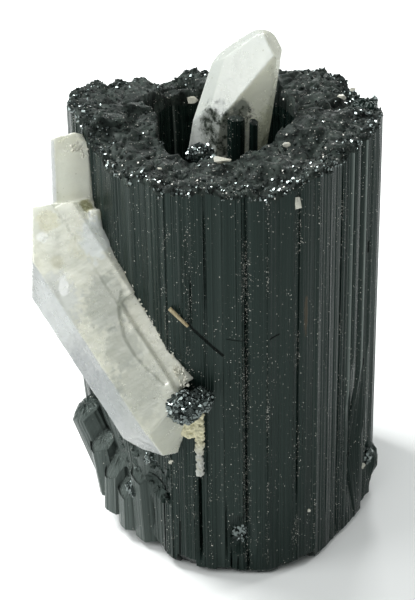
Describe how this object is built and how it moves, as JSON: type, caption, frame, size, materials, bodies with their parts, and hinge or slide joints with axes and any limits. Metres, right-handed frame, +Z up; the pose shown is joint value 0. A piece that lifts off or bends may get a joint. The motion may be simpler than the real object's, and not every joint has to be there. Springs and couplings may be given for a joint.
{
  "type": "hollow schorl column with quartz crystals",
  "caption": "Free-standing mineral specimen: a ribbed black schorl column with a hollow top, a quartz crystal leaning in it and long quartz crystals grown on its side.",
  "frame": {"origin": "point of the flat broken base under the column's axis", "axes": "+Z up along the column, -Y towards the front that the picture shows, +X to its right"},
  "size_m": [0.0487, 0.0504, 0.0714],
  "materials": {
    "schorl": "black, glassy and finely striated lengthways, rough and glittering on the broken top",
    "hollow_quartz": "milky see-through crystal with one bright white end face",
    "side_quartz": "milky see-through crystal, frosted cream with pale lilac lower faces",
    "knob": "black and glossy, of small crystal faces",
    "crust": "dull cream crust, greyer at the drip's end",
    "splinter": "dull brown splinter",
    "quartz_chip": "milky broken chip"
  },
  "bodies": {
    "root": {"schorl_column": "schorl", "hollow_quartz": "hollow_quartz", "side_quartz": "side_quartz", "schorl_knob": "knob", "pale_crust": "crust", "brown_needle": "splinter", "rim_quartz_chip": "quartz_chip"}
  },
  "joints": []
}
